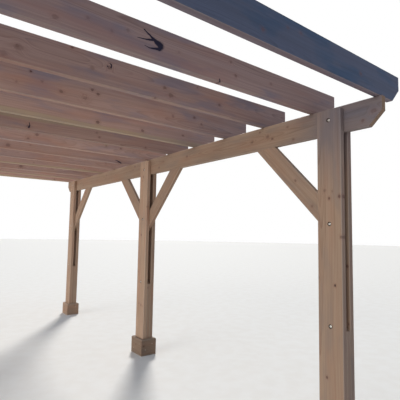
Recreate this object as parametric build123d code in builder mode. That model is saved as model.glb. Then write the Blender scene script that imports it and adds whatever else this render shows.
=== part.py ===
from build123d import *
import os
from math import cos, radians, tan

# Free-standing timber pergola of planed boards.
#
# Two rows of three posts carry a beam each, and thirteen rafters on edge cross both
# beams. Every post is a sandwich: two full-height planks with a shorter core between
# their lower halves, gabled at its top so that it sheds rain. The open slot above the
# core takes the beam at the top and the feet of the knee braces further down. Three
# bolts clamp each post: one through the core, one through the brace feet and one
# through the beam. Their holes run in line through all three layers, with round
# recesses for the nuts on the side of the covered space. A skirt of four mitred boards
# hides each foot.
#
# Millimetres. X runs along the rafters, Y along the beams, Z is up. The origin is on
# the ground in the middle of the plan.

os.makedirs("parts", exist_ok=True)

# Plan
row_spacing = 3500.0
post_pitch = 2740.0
beam_overhang = 375.0
rafter_overhang = 250.0
rafter_count = 13
rafter_inset = 37.0

# Heights above the ground
headroom = 2260.0
core_height = 922.0

# Timber sections
beam_thickness = 45.0
beam_depth = 195.0
rafter_thickness = 45.0
rafter_depth = 195.0
plank_thickness = 45.0
post_width = 195.0
brace_depth = 150.0
skirt_thickness = 34.0
skirt_height = 195.0

# Cuts and joints
beam_end_cut = 95.0
rafter_end_cut = 95.0
arris = 4.0
plank_top_drop = 25.0
core_gable_rise = 60.0
skirt_bevel = 10.0
mitre_gap = 0.6
brace_angle = 45.0
brace_reach = 660.0
brace_foot_setback = 35.0
middle_foot_gap = 1.0

# Bolts
core_bolt_drop = 38.0
middle_brace_bolt_rise = 80.0
middle_beam_bolt_drop = 35.0
bolt_hole_diameter = 13.0
nut_recess_diameter = 30.0
nut_recess_depth = 14.0

# Sizes that follow from the ones above
beam_length = 2 * (post_pitch + beam_overhang)
beam_top = headroom + beam_depth
plank_height = beam_top - plank_top_drop
rafter_length = row_spacing + 2 * rafter_overhang
rafter_pitch = (beam_length - 2 * rafter_inset) / (rafter_count - 1)
post_depth = beam_thickness + 2 * plank_thickness
brace_slope = tan(radians(brace_angle))
brace_half_height = brace_depth / 2 / cos(radians(brace_angle))
brace_foot_height = headroom - brace_reach * brace_slope
end_foot_reach = post_width / 2 - brace_foot_setback

rows = {"left": -row_spacing / 2, "right": row_spacing / 2}
posts = {"front": -post_pitch, "middle": 0.0, "back": post_pitch}

core_bolt_height = core_height - core_bolt_drop
end_brace_bolt_height = brace_foot_height
middle_brace_bolt_height = brace_foot_height + middle_brace_bolt_rise
end_beam_bolt_height = headroom + beam_depth / 2
middle_beam_bolt_height = end_beam_bolt_height - middle_beam_bolt_drop
brace_bolt_heights = {
    "front": end_brace_bolt_height,
    "middle": middle_brace_bolt_height,
    "back": end_brace_bolt_height,
}
beam_bolt_heights = {
    "front": end_beam_bolt_height,
    "middle": middle_beam_bolt_height,
    "back": end_beam_bolt_height,
}


def side_plane(x, y, z, facing):
    """Plane on a face that looks along +X (facing 1) or -X (facing -1), its own y up."""
    return Plane(origin=(x, y, z), x_dir=(0, facing, 0), z_dir=(facing, 0, 0))


def cut_corner_outline(length, depth, corner_cut):
    """Side view of a board on edge whose two lower corners are sawn off at 45 degrees."""
    half = length / 2
    return [
        (-half, depth),
        (half, depth),
        (half, corner_cut),
        (half - corner_cut, 0),
        (corner_cut - half, 0),
        (-half, corner_cut),
    ]


def core_outline():
    """Side view of a core, with a gabled top."""
    half = post_width / 2
    eaves_height = core_height - core_gable_rise
    return [(-half, 0), (half, 0), (half, eaves_height), (0, core_height), (-half, eaves_height)]


def brace_outline(foot_reach):
    """Side view of a knee brace, measured along the beam from the axis of its post.

    The foot is cut plumb foot_reach beyond the axis, the head level under the beam.
    """
    foot_middle = brace_foot_height - foot_reach * brace_slope
    head_half = brace_half_height / brace_slope
    return [
        (-foot_reach, foot_middle - brace_half_height),
        (brace_reach + head_half, headroom),
        (brace_reach - head_half, headroom),
        (-foot_reach, foot_middle + brace_half_height),
    ]


# Beams, on edge in the slots of their posts
for row, row_x in rows.items():
    inner_face = side_plane(row_x - beam_thickness / 2, 0, headroom, 1)
    with BuildPart() as beam:
        with BuildSketch(inner_face):
            with BuildLine():
                Polyline(*cut_corner_outline(beam_length, beam_depth, beam_end_cut), close=True)
            make_face()
        extrude(amount=beam_thickness)
        chamfer(beam.edges().filter_by(Axis.Y), arris)
        with Locations(side_plane(row_x + beam_thickness / 2, 0, 0, 1)):
            with Locations(*[(posts[post], beam_bolt_heights[post]) for post in posts]):
                Hole(bolt_hole_diameter / 2, beam_thickness)
    beam.part.label = f"{row}_beam"
    export_step(beam.part, f"parts/{row}_beam.step")

# Rafters, on edge across both beams
for number in range(rafter_count):
    rafter_y = rafter_pitch * (number - (rafter_count - 1) / 2)
    near_face = Plane(
        origin=(0, rafter_y - rafter_thickness / 2, beam_top), x_dir=(-1, 0, 0), z_dir=(0, 1, 0)
    )
    with BuildPart() as rafter:
        with BuildSketch(near_face):
            with BuildLine():
                Polyline(*cut_corner_outline(rafter_length, rafter_depth, rafter_end_cut), close=True)
            make_face()
        extrude(amount=rafter_thickness)
        chamfer(rafter.edges().filter_by(Axis.X), arris)
    rafter.part.label = f"rafter_{number + 1:02d}"
    export_step(rafter.part, f"parts/{rafter.part.label}.step")

# Posts: inner and outer plank, core between their lower halves, skirt round the foot
for row, row_x in rows.items():
    outward = 1 if row_x > 0 else -1
    for post, post_y in posts.items():
        bolt_heights = (core_bolt_height, brace_bolt_heights[post], beam_bolt_heights[post])
        for side, facing in {"inner": -outward, "outer": outward}.items():
            plank_x = row_x + facing * (beam_thickness + plank_thickness) / 2
            with BuildPart() as plank:
                with BuildSketch(Plane((plank_x, post_y, 0))):
                    Rectangle(plank_thickness, post_width)
                extrude(amount=plank_height)
                chamfer(plank.edges().filter_by(Axis.Z), arris)
                with Locations(side_plane(plank_x + facing * plank_thickness / 2, post_y, 0, facing)):
                    with Locations(*[(0, height) for height in bolt_heights]):
                        if side == "inner":
                            CounterBoreHole(
                                radius=bolt_hole_diameter / 2,
                                counter_bore_radius=nut_recess_diameter / 2,
                                counter_bore_depth=nut_recess_depth,
                                depth=plank_thickness,
                            )
                        else:
                            Hole(bolt_hole_diameter / 2, plank_thickness)
            plank.part.label = f"{row}_{post}_post_{side}_plank"
            export_step(plank.part, f"parts/{plank.part.label}.step")

        with BuildPart() as core:
            with BuildSketch(side_plane(row_x - beam_thickness / 2, post_y, 0, 1)):
                with BuildLine():
                    Polyline(*core_outline(), close=True)
                make_face()
            extrude(amount=beam_thickness)
            chamfer(core.edges().filter_by(Axis.Z), arris)
            with Locations(side_plane(row_x + beam_thickness / 2, post_y, 0, 1)):
                with Locations((0, core_bolt_height)):
                    Hole(bolt_hole_diameter / 2, beam_thickness)
        core.part.label = f"{row}_{post}_post_core"
        export_step(core.part, f"parts/{core.part.label}.step")

        with BuildPart() as skirt:
            with BuildSketch(Plane((row_x, post_y, 0))):
                Rectangle(post_depth + 2 * skirt_thickness, post_width + 2 * skirt_thickness)
                Rectangle(post_depth, post_width, mode=Mode.SUBTRACT)
            extrude(amount=skirt_height)
            outer_top_edges = skirt.faces().sort_by(Axis.Z)[-1].outer_wire().edges()
            chamfer(outer_top_edges, skirt_bevel)
            with BuildSketch(Plane((row_x, post_y, 0))):
                for corner_x in (-1, 1):
                    for corner_y in (-1, 1):
                        mitre_x = corner_x * (post_depth + skirt_thickness) / 2
                        mitre_y = corner_y * (post_width + skirt_thickness) / 2
                        with Locations((mitre_x, mitre_y)):
                            Rectangle(2 * skirt_thickness, mitre_gap, rotation=45 * corner_x * corner_y)
            extrude(amount=skirt_height, mode=Mode.SUBTRACT)
        skirt.part.label = f"{row}_{post}_post_skirt"
        export_step(skirt.part, f"parts/{skirt.part.label}.step")

# Knee braces in the plane of the beams, their feet in the slots of the posts. The middle
# post has a pair that meets on its axis, and the end posts have one each.
braces = {
    "front_post_brace": ("front", 1, end_foot_reach),
    "middle_post_braces": ("middle", 1, -middle_foot_gap / 2),
    "back_post_brace": ("back", -1, end_foot_reach),
}
for row, row_x in rows.items():
    for name, (post, direction, foot_reach) in braces.items():
        face_x = row_x - direction * beam_thickness / 2
        with BuildPart() as brace:
            with BuildSketch(side_plane(face_x, posts[post], 0, direction)):
                with BuildLine():
                    Polyline(*brace_outline(foot_reach), close=True)
                make_face()
            extrude(amount=beam_thickness)
            long_edges = brace.edges().filter_by(Axis((0, 0, 0), (0, direction, brace_slope)))
            chamfer(long_edges, arris)
            if post == "middle":
                mirror(about=Plane.XZ)
            with Locations(side_plane(row_x + beam_thickness / 2, posts[post], 0, 1)):
                with Locations((0, brace_bolt_heights[post])):
                    Hole(bolt_hole_diameter / 2, beam_thickness)
        brace.part.label = f"{row}_{name}"
        export_step(brace.part, f"parts/{row}_{name}.step")
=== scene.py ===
# %% [markdown]
# A free-standing timber pergola: two rows of sandwich posts, a beam in the slot of each row,
# knee braces and thirteen deep rafters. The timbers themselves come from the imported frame,
# at their real size and place. This lesson gives each board its softwood finish, adds the
# bolts and screws that hold the boards together, and sets up the light and the camera.

# %% Load the frame
import random
from math import cos, pi, radians, sin, sqrt

import bmesh
import bpy
from mathutils import Matrix, Vector


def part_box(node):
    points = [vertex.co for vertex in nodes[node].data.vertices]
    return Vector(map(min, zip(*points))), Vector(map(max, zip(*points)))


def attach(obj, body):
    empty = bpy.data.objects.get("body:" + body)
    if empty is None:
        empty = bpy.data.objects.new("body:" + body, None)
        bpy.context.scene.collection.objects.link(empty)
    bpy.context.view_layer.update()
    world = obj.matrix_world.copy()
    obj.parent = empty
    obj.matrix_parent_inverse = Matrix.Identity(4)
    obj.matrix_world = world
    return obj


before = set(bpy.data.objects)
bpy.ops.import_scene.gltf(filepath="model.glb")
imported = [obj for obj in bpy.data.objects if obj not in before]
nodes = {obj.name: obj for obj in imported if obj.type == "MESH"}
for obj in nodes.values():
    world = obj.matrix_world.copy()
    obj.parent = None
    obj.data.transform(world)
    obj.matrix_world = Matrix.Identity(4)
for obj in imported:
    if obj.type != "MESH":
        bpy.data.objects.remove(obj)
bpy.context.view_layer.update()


bpy.context.scene.view_settings.view_transform = "Standard"
print("nodes in the frame:", len(nodes))

# %% [markdown]
# Every place below is worked out from a few driving sizes. The boards' own boxes give the
# rows, the posts and the section of each timber, so a scaled frame would be dressed the same
# way. The bolts are placed from the pieces that they clamp.

# %% Sizes read from the frame
MM = 0.001

ROWS = {"left": -1, "right": 1}
POSTS = ("front", "middle", "back")
RAFTERS = [name for name in sorted(nodes) if name.startswith("rafter")]


def centre(node):
    low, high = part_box(node)
    return (low + high) / 2


def size(node):
    low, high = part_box(node)
    return high - low


row_x = centre("right_beam").x
post_y = {post: centre(f"right_{post}_post_core").y for post in POSTS}
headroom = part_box("right_beam")[0].z
beam_middle = centre("right_beam").z
board_thickness = size("right_beam").x
plank_width = size("right_front_post_inner_plank").y
post_depth = 3 * board_thickness
core_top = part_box("right_front_post_core")[1].z
front_edge = post_y["front"] - plank_width / 2
print(f"rows at +-{row_x:.3f} m, posts at {post_y}, headroom {headroom:.3f} m")

# %% [markdown]
# The camera stands just in front of the open front end, at eye height, and looks along the
# right-hand row. Its place and angles were found by fitting straight edges of the row to
# the picture, so they are odd numbers. Blender builds a view from a rotation matrix whose
# columns are the camera's right, its up and the direction behind it.

# %% Camera
eye = Vector((-0.696, -4.329, 1.526))
heading, climb, roll = radians(37.356), radians(4.849), radians(1.006)
picture_width = 400
focal_in_pixels = 378.41

ahead = Vector((sin(heading) * cos(climb), cos(heading) * cos(climb), sin(climb)))
level_right = Vector((cos(heading), -sin(heading), 0))
level_up = level_right.cross(ahead)
right = cos(roll) * level_right + sin(roll) * level_up
up = cos(roll) * level_up - sin(roll) * level_right

camera_data = bpy.data.cameras.new("camera")
camera_data.sensor_width = 36
camera_data.lens = camera_data.sensor_width * focal_in_pixels / picture_width
camera = bpy.data.objects.new("camera", camera_data)
camera.matrix_world = Matrix.Translation(eye) @ Matrix((right, up, -ahead)).transposed().to_4x4()
bpy.context.scene.collection.objects.link(camera)
bpy.context.scene.camera = camera
print(f"lens {camera_data.lens:.2f} mm")

# %% [markdown]
# Materials are built from nodes in code, and one small function adds any node, sets it up
# and links it, so that a material reads as a list of steps. Its values fill the node's
# visible inputs from top to bottom, as one sees them in the shader editor, and a node that
# is given as a value stands for its own first output. Colours are written as the sRGB hex
# that one would pick from a photograph, and turned into the linear values that nodes expect.


# %% Helpers for colours and nodes
def linear(hex_colour):
    """Linear RGBA of an sRGB hex colour such as 'C8A080'."""
    channels = [int(hex_colour[i:i + 2], 16) / 255 for i in (0, 2, 4)]
    return [c / 12.92 if c <= 0.04045 else ((c + 0.055) / 1.055) ** 2.4 for c in channels] + [1]


def fill(tree, socket, value):
    """Set a socket to a value, or link it to a socket or to a node's first visible output."""
    if isinstance(value, bpy.types.Node):
        value = next(output for output in value.outputs if output.enabled)
    if isinstance(value, bpy.types.NodeSocket):
        tree.links.new(value, socket)
    else:
        socket.default_value = value


def add(tree, kind, *values, into=(), **settings):
    """Add a node with its settings. Values fill its visible inputs in order, into by name."""
    node = tree.nodes.new("ShaderNode" + kind)
    for name, value in settings.items():
        setattr(node, name, value)
    visible = [socket for socket in node.inputs if socket.enabled]
    for socket, value in zip(visible, values):
        fill(tree, socket, value)
    for name, value in dict(into).items():
        fill(tree, node.inputs[name], value)
    return node


print("a mid brown in linear light:", linear("8D6D60"))

# %% [markdown]
# A pattern that many boards use goes into a node group, which is to nodes what a function
# is to code. A material starts from one Principled shader, which is Blender's model of
# most real surfaces, and its patterns are linked into that.


# %% New groups and materials
def new_group(name, inputs, outputs):
    """An empty node group with its sockets; returns the tree, its input and output sockets."""
    tree = bpy.data.node_groups.new(name, "ShaderNodeTree")
    for in_out, sockets in (("INPUT", inputs), ("OUTPUT", outputs)):
        for socket, kind in sockets.items():
            tree.interface.new_socket(name=socket, in_out=in_out, socket_type="NodeSocket" + kind)
    return tree, tree.nodes.new("NodeGroupInput").outputs, tree.nodes.new("NodeGroupOutput").inputs


def new_material(name):
    """A material with one Principled shader; returns the material, its tree and the shader."""
    material = bpy.data.materials.new(name)
    material.use_nodes = True
    return material, material.node_tree, material.node_tree.nodes["Principled BSDF"]


# %% [markdown]
# Two things come back in every pattern of the wood. Its noise is stretched along the grain,
# so the size of one feature is given across, through and along the board. And its masks are
# eased between two limits by a smooth step, so that no stain or knot has a hard edge.


# %% Noise along the grain
EASED = {"interpolation_type": "SMOOTHSTEP"}


def grain_noise(tree, board, seed, feature, detail=2.0):
    """Noise in board space, with features of this size in mm across, through and along."""
    per_metre = [1000 / length for length in feature]
    place = add(tree, "VectorMath", board, per_metre, seed, operation="MULTIPLY_ADD")
    return add(tree, "TexNoise", place, 1.0, detail)


print("masks are eased by a", EASED["interpolation_type"].lower())

# %% [markdown]
# Wood grain only looks right when it runs along each board. A Mapping node of the Texture
# kind undoes a board's own place and turn, and gives board space: X across the wide face,
# Y through the thickness, Z along the length, zero in the middle of the board. The grain is
# then drawn once, for all boards, in that space.


# %% Board space
class Board:
    """Where a board lies: its middle, the directions along and across it, and its size."""

    def __init__(self, middle, along, across, length, width, thickness):
        self.middle = Vector(middle)
        self.along, self.across = Vector(along), Vector(across)
        self.length, self.width, self.thickness = length, width, thickness

    def turn(self):
        """The angles that turn board space into the space of the part."""
        through = self.along.cross(self.across)
        return Matrix((self.across, through, self.along)).transposed().to_euler()


X, Y, Z = Vector((1, 0, 0)), Vector((0, 1, 0)), Vector((0, 0, 1))


def board_of(node, along, across):
    """The board that fills a node's box, with its length and width along these axes."""
    extent = size(node)
    thin = along.cross(across)
    return Board(centre(node), along, across, abs(extent.dot(along)), abs(extent.dot(across)),
                 abs(extent.dot(thin)))


print("a rafter's turn:", board_of("rafter_02", X, Z).turn())

# %% [markdown]
# A knot is the foot of a branch. It crosses the board roughly from the pith to the bark,
# so in board space it is a slightly slanted rod through the thickness. The growth rings
# swell round it, its bark leaves a thin broken dark rim, and resin reddens the wood near
# it. Each knot is one group node: it takes what the knots before it made and passes on the
# sum of the swellings and the strongest of each mask. Lengths in it are counted in radii.


# %% Knot group
HEART_EDGE, HALO_EDGE = (1.30, 0.45), (3.2, 0.9)
BARK_RADIUS, BARK_EDGE, BARK_UNBROKEN = 0.95, (0.34, 0.04), (-0.22, 0.12)


def build_knot_group():
    masks = {"Swelling": "Float", "Knot": "Float", "Rim": "Float", "Halo": "Float"}
    tree, given, result = new_group(
        "knot",
        {"Board": "Vector", "Centre": "Vector", "Radius": "Float", "Strength": "Float",
         "Slant": "Float", "Ragged": "Float", **masks},
        masks,
    )
    away = add(tree, "VectorMath", given["Board"], given["Centre"], operation="SUBTRACT")
    part = add(tree, "SeparateXYZ", away).outputs
    lean = add(tree, "Math", part["Y"], given["Slant"], operation="MULTIPLY")
    across = add(tree, "Math", part["X"], lean, operation="SUBTRACT")
    # A slanting branch is cut a little long in the direction of the grain
    along = add(tree, "Math", part["Z"], 0.82, operation="MULTIPLY")
    distance = add(tree, "VectorMath", add(tree, "CombineXYZ", across, along), operation="LENGTH")
    radii = add(tree, "Math", distance, given["Radius"], operation="DIVIDE")
    uneven = add(tree, "Math", radii, given["Ragged"], operation="ADD")

    heart = add(tree, "MapRange", uneven, *HEART_EDGE, **EASED)
    halo = add(tree, "MapRange", uneven, *HALO_EDGE, **EASED)
    # The bark is a thin ring near the edge, and broken where the raggedness is low
    off_bark = add(tree, "Math", uneven, BARK_RADIUS, operation="SUBTRACT")
    off_bark = add(tree, "Math", off_bark, operation="ABSOLUTE")
    ring = add(tree, "MapRange", off_bark, *BARK_EDGE, **EASED)
    unbroken = add(tree, "MapRange", given["Ragged"], *BARK_UNBROKEN, **EASED)
    bark = add(tree, "Math", ring, unbroken, operation="MULTIPLY")
    # Only sound dark knots show their bark, so it fades faster than the heart
    rim = add(tree, "Math", bark, given["Strength"], operation="MULTIPLY")
    for mask, name in ((heart, "Knot"), (rim, "Rim"), (halo, "Halo")):
        weighed = add(tree, "Math", mask, given["Strength"], operation="MULTIPLY")
        fill(tree, result[name], add(tree, "Math", weighed, given[name], operation="MAXIMUM"))

    # The rings swell as a bell curve about three radii wide
    bell = add(tree, "Math", radii, 2.0, operation="POWER")
    bell = add(tree, "Math", bell, -0.22, operation="MULTIPLY")
    bell = add(tree, "Math", bell, operation="EXPONENT")
    lift = add(tree, "Math", given["Radius"], 1.3, operation="MULTIPLY")
    swelling = add(tree, "Math", bell, lift, given["Swelling"], operation="MULTIPLY_ADD")
    fill(tree, result["Swelling"], swelling)
    return tree


KNOT = build_knot_group()
print("knot group:", len(KNOT.nodes), "nodes")

# %% [markdown]
# Some knots have cracked as they dried. A crack is drawn from a few strokes. Each stroke is
# a straight line that tapers from one end to the other, and it goes through the thickness,
# as such a crack does, so it shows on both wide faces. The group measures the distance to
# that line and turns it into a mask.


# %% Split group
SPLIT_EDGE = (1.35, 0.6)


def build_split_group():
    tree, given, result = new_group(
        "split",
        {"Board": "Vector", "Start": "Vector", "End": "Vector", "Start half width": "Float",
         "End half width": "Float", "Ragged": "Float", "Split": "Float"},
        {"Split": "Float"},
    )
    on_face = add(tree, "VectorMath", given["Board"], (1, 0, 1), operation="MULTIPLY")
    run = add(tree, "VectorMath", given["End"], given["Start"], operation="SUBTRACT")
    away = add(tree, "VectorMath", on_face, given["Start"], operation="SUBTRACT")
    # Share of the run at which the line is nearest, from 0 at its start to 1 at its end
    progress = add(tree, "VectorMath", away, run, operation="DOT_PRODUCT")
    square = add(tree, "VectorMath", run, run, operation="DOT_PRODUCT")
    share = add(tree, "Math", progress, square, operation="DIVIDE", use_clamp=True)
    nearest = add(tree, "VectorMath", run, share, operation="SCALE")
    off_line = add(tree, "VectorMath", away, nearest, operation="SUBTRACT")
    distance = add(tree, "VectorMath", off_line, operation="LENGTH")
    half_width = add(tree, "MapRange", share, 0.0, 1.0,
                     given["Start half width"], given["End half width"])
    half_widths = add(tree, "Math", distance, half_width, operation="DIVIDE")
    uneven = add(tree, "Math", given["Ragged"], 0.5, half_widths, operation="MULTIPLY_ADD")
    inside = add(tree, "MapRange", uneven, *SPLIT_EDGE, **EASED)
    fill(tree, result["Split"], add(tree, "Math", inside, given["Split"], operation="MAXIMUM"))
    return tree


SPLIT = build_split_group()
print("split group:", len(SPLIT.nodes), "nodes")

# %% [markdown]
# Planed Douglas fir, one summer old. What gives it away is pale earlywood that darkens into
# thin reddish latewood, ring after ring. From across a terrace one mostly sees broad
# streaks, faint grey-violet and salmon clouds, and the lighter rubbed corners, which are
# also a painted highlight. Faces that stand out in the weather turn grey, and the slate
# blue of that grey is partly a painted bluish shade; the sheltered faces of the same board
# stay brown. The rafters are of reddish heartwood, the posts, beams and braces honey-coloured.

# %% Colours of the wood
PALETTES = {
    # earlywood, latewood, grey cloud, warm blush
    "heartwood": ("B9998B", "8D6D60", "857C88", "B1806B"),
    "honey": ("A38A75", "826552", "8A786C", "A07861"),
}
SAPWOOD = linear("AE9D7C")
# Weathered grey in a slate blue that is partly a painted bluish shade
SILVER_AND_SKY_PALE = linear("445570")
SILVER_AND_SKY_DARK = linear("323E52")
# Rubbed corners, partly a painted highlight
RUBBED_AND_HIGHLIGHT = linear("B5A595")
KNOT_HEART = linear("583A36")
KNOT_RIM = linear("2B1F26")
RESIN_RED = linear("7F5547")
SPLIT_BLACK = linear("1E1C30")
END_PALE = linear("94795F")
END_DARK = linear("5A4036")
# Painted shade for the walls of bolt holes
BORE_PAINTED_SHADE = linear("2A1F1C")
print("palettes:", list(PALETTES))

# %% [markdown]
# Growth rings are circles round a pith that lies beside the board and wanders a little
# along it. The board's faces cut them into long flames on the wide faces, straight lines on
# the edges and arcs on the ends, so one wavering cylinder pattern in board space gives all
# three, and they meet at the corners of the board.


# %% Rings of a trunk
RING_WIDTH = 5 * MM
BAND_WIDTH = 18.18 * MM
PITH_WANDER, PITH_DRIFT = (1666.7, 1666.7, 1428.6), 100 * MM
RING_WAVE, RING_WOBBLE = (71.43, 71.43, 625), 12 * MM


def build_ring_group():
    """Board space to the tree: how far from the pith, in which year's ring, how much latewood."""
    tree, given, result = new_group(
        "growth rings",
        {"Board": "Vector", "Seed": "Vector", "Pith": "Vector", "Swelling": "Float"},
        {"Radius": "Float", "Latewood": "Float", "Band": "Float", "Angle": "Float"},
    )
    board, seed = given["Board"], given["Seed"]
    # The pith wanders some centimetres in the length of a board
    wander = grain_noise(tree, board, seed, PITH_WANDER, 1.0).outputs["Color"]
    centred = add(tree, "VectorMath", wander, (0.5, 0.5, 0.5), operation="SUBTRACT")
    reach = (PITH_DRIFT, PITH_DRIFT, 0)
    drift = add(tree, "VectorMath", centred, reach, board, operation="MULTIPLY_ADD")
    from_pith = add(tree, "VectorMath", drift, given["Pith"], operation="SUBTRACT")
    part = add(tree, "SeparateXYZ", from_pith).outputs
    across, through = part["X"], part["Y"]
    square = add(tree, "Math", across, across, operation="MULTIPLY")
    square = add(tree, "Math", through, through, square, operation="MULTIPLY_ADD")
    round_pith = add(tree, "Math", square, operation="SQRT")
    wobble = grain_noise(tree, board, seed, RING_WAVE)
    radius = add(tree, "Math", wobble, RING_WOBBLE, round_pith, operation="MULTIPLY_ADD")
    radius = add(tree, "Math", radius, given["Swelling"], operation="ADD")

    # One ring: a slow rise from earlywood to latewood, then a sharp end
    ring = add(tree, "Math", radius, RING_WIDTH, operation="DIVIDE")
    phase = add(tree, "Math", ring, operation="FRACT")
    rise = add(tree, "Math", phase, 2.5, operation="POWER")
    sharp_end = add(tree, "MapRange", phase, 1.0, 0.88, **EASED)
    profile = add(tree, "Math", rise, sharp_end, operation="MULTIPLY")
    year = add(tree, "Math", ring, operation="FLOOR")
    summer = add(tree, "TexWhiteNoise", year, noise_dimensions="1D")
    strength = add(tree, "Math", summer, 0.8, 0.5, operation="MULTIPLY_ADD")
    # Good and bad summers in a row make broader bands
    run_of_years = add(tree, "Math", radius, BAND_WIDTH, operation="DIVIDE")
    years = add(tree, "TexNoise", run_of_years, 1.0, noise_dimensions="1D")
    fill(tree, result["Radius"], radius)
    fill(tree, result["Latewood"], add(tree, "Math", profile, strength, operation="MULTIPLY"))
    fill(tree, result["Band"], add(tree, "MapRange", years, 0.35, 0.7, **EASED))
    fill(tree, result["Angle"], add(tree, "Math", through, across, operation="ARCTAN2"))
    return tree


RINGS = build_ring_group()
print("ring group:", len(RINGS.nodes), "nodes")

# %% [markdown]
# Rings alone don't make planed fir. Streaks some 14 mm wide and fibres of 2 mm run on for
# much of a board. Here they add up, with latewood and bands, to one darkness, which leads
# from the palette's earlywood to its latewood colour. The weights were matched to the
# photograph, and so were the sizes of the noise, so they are odd numbers.


# %% Streaks, clouds and darkness
STREAK, FIBRE = (14.29, 14.29, 769.2), (2, 2, 111.1)
CLOUD, BLUSH = (90.91, 90.91, 357.1), (76.92, 142.9, 500)
DARKNESS_LEVEL = -0.55


def total(tree, level, *shares):
    """A level plus each part times its weight."""
    for part, weight in shares:
        level = add(tree, "Math", part, weight, level, operation="MULTIPLY_ADD")
    return level


def wood_darkness(tree, rings, streak, fibre):
    """How dark the bare wood is, from 0 in pale earlywood to 1 in latewood."""
    shares = (rings["Latewood"], 0.55), (rings["Band"], 0.22), (streak, 0.95), (fibre, 0.22)
    return add(tree, "Clamp", total(tree, DARKNESS_LEVEL, *shares))


def clouds_and_blushes(tree, board, seed):
    """Masks of the broad grey clouds and warm blushes that lie over the grain."""
    clouds = grain_noise(tree, board, seed, CLOUD, 3.0)
    blushes = grain_noise(tree, board, seed, BLUSH).outputs["Color"]
    return (add(tree, "MapRange", clouds, 0.46, 0.70, **EASED),
            add(tree, "MapRange", blushes, 0.44, 0.72, **EASED))


print("streaks in mm across, through and along:", STREAK)

# %% [markdown]
# Sun and rain turn the outermost skin of a board grey, so weather is a question of depth
# below a face. The same grey coat also carries painted shade and a painted bluish tinge of
# sky light. Each board says how grey it is on the face towards +Y of board space and on its
# upper edge. Below that edge the upper half of the sides is greyed a little, a painted
# shade, and on the most exposed boards the grey creeps round to the lower edge too. What
# comes from the place where a board hangs, partly painted shade, is given as Placed shade
# and grey.

# %% Weather and painted shade
SKIN = (2.5 * MM, 0.5 * MM)
# Painted shade: the upper half of each side is greyed below its top edge
SHADE_BELOW_TOP = (110 * MM, 0.0)
SHADE_BELOW_TOP_GREY = 0.6
# A front grey and sky shade of 0.1 to 0.6 greys the lower edge by 0 to 0.7
FOOT_GREY = (0.1, 0.6, 0.0, 0.7)


def grey_and_shade_mask(tree, given, cloud):
    """How grey a point is, from weathering and painted shade: from its depth below the faces, and
    from where the board hangs.
    """
    board, half = given["Board"], given["Half size"]
    below = add(tree, "VectorMath", half, board, operation="SUBTRACT")
    below = add(tree, "SeparateXYZ", below).outputs
    above = add(tree, "VectorMath", half, board, operation="ADD")
    above = add(tree, "SeparateXYZ", above).outputs
    front = add(tree, "MapRange", below["Y"], *SKIN, **EASED)
    top = add(tree, "MapRange", below["X"], *SKIN, **EASED)
    foot = add(tree, "MapRange", above["X"], *SKIN, **EASED)
    # Painted shade below the top edge
    shade_below_top = add(tree, "MapRange", below["X"], *SHADE_BELOW_TOP, 0.0, SHADE_BELOW_TOP_GREY, **EASED)
    top = add(tree, "Math", top, shade_below_top, operation="MAXIMUM")
    foot_grey_and_sky_shade = add(tree, "MapRange", given["Front grey and sky shade"], *FOOT_GREY, **EASED)

    reached = given["Exposure"]
    for face, grey in ((front, given["Front grey and sky shade"]), (top, given["Top grey and shade"]),
                       (foot, foot_grey_and_sky_shade)):
        greyed = add(tree, "Math", face, grey, operation="MULTIPLY")
        reached = add(tree, "Math", greyed, reached, operation="MAXIMUM")
    patchy = add(tree, "Math", cloud, 0.08, 0.92, operation="MULTIPLY_ADD")
    return add(tree, "Math", reached, patchy, operation="MULTIPLY")


print(f"weather reaches {SKIN[0] / MM} mm into the wood")

# %% [markdown]
# Ends and drilled holes are cut across the fibres. They drink in water, so they are dark,
# with strong rings and fine checks that run out from the pith. Depth tells them from the
# planed sides: only on a cut face does a point lie well below all four sides of a board.
# The ring pattern knows the angle round the pith, and a noise along it gives the checks.


# %% Cut faces
SPOKES_PER_RADIAN = 30.0


def times_arris(tree, arris, *factors):
    """Depths that are multiples of the width of the eased corners."""
    return [add(tree, "Math", arris, factor, operation="MULTIPLY") for factor in factors]


def cut_faces(tree, depth, arris, rings):
    """Mask of the sawn ends and drilled holes, and their colour."""
    off_edges = add(tree, "MapRange", depth["X"], *times_arris(tree, arris, 1.05, 1.3), **EASED)
    off_faces = add(tree, "MapRange", depth["Y"], 0.6 * MM, 1.4 * MM, **EASED)
    cut = add(tree, "Math", off_edges, off_faces, operation="MINIMUM")
    spokes = add(tree, "Math", rings["Angle"], SPOKES_PER_RADIAN, operation="MULTIPLY")
    spokes = add(tree, "TexNoise", spokes, 1.0, noise_dimensions="1D")
    off_check = add(tree, "Math", spokes, 0.5, operation="SUBTRACT")
    off_check = add(tree, "Math", off_check, operation="ABSOLUTE")
    check = add(tree, "MapRange", off_check, 0.02, 0.0, **EASED)
    dark = add(tree, "Math", rings["Latewood"], check, operation="MAXIMUM")
    return cut, add(tree, "Mix", dark, END_PALE, END_DARK, data_type="RGBA")


print("spokes in a full turn round the pith:", round(2 * pi * SPOKES_PER_RADIAN))

# %% [markdown]
# Some marks depend only on where a point lies in its board. Sapwood starts at one ring of
# the trunk. A point that is near two sides at once lies on an eased corner, which use has
# rubbed pale, and which is also lightened as a painted highlight. And a cut face far from
# the ends of a board is the wall of a bolt hole, which is darkened as a painted shade.


# %% Sapwood, corners and bolt holes
SAPWOOD_EDGE = (-4 * MM, 6 * MM)
CLEAR_OF_ENDS = (20 * MM, 30 * MM)


def depth_below_faces(tree, given):
    """Depth below the nearer face of each pair: X across, Y through and Z along the board."""
    outward = add(tree, "VectorMath", given["Board"], operation="ABSOLUTE")
    inset = add(tree, "VectorMath", given["Half size"], outward, operation="SUBTRACT")
    return add(tree, "SeparateXYZ", inset).outputs


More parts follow.
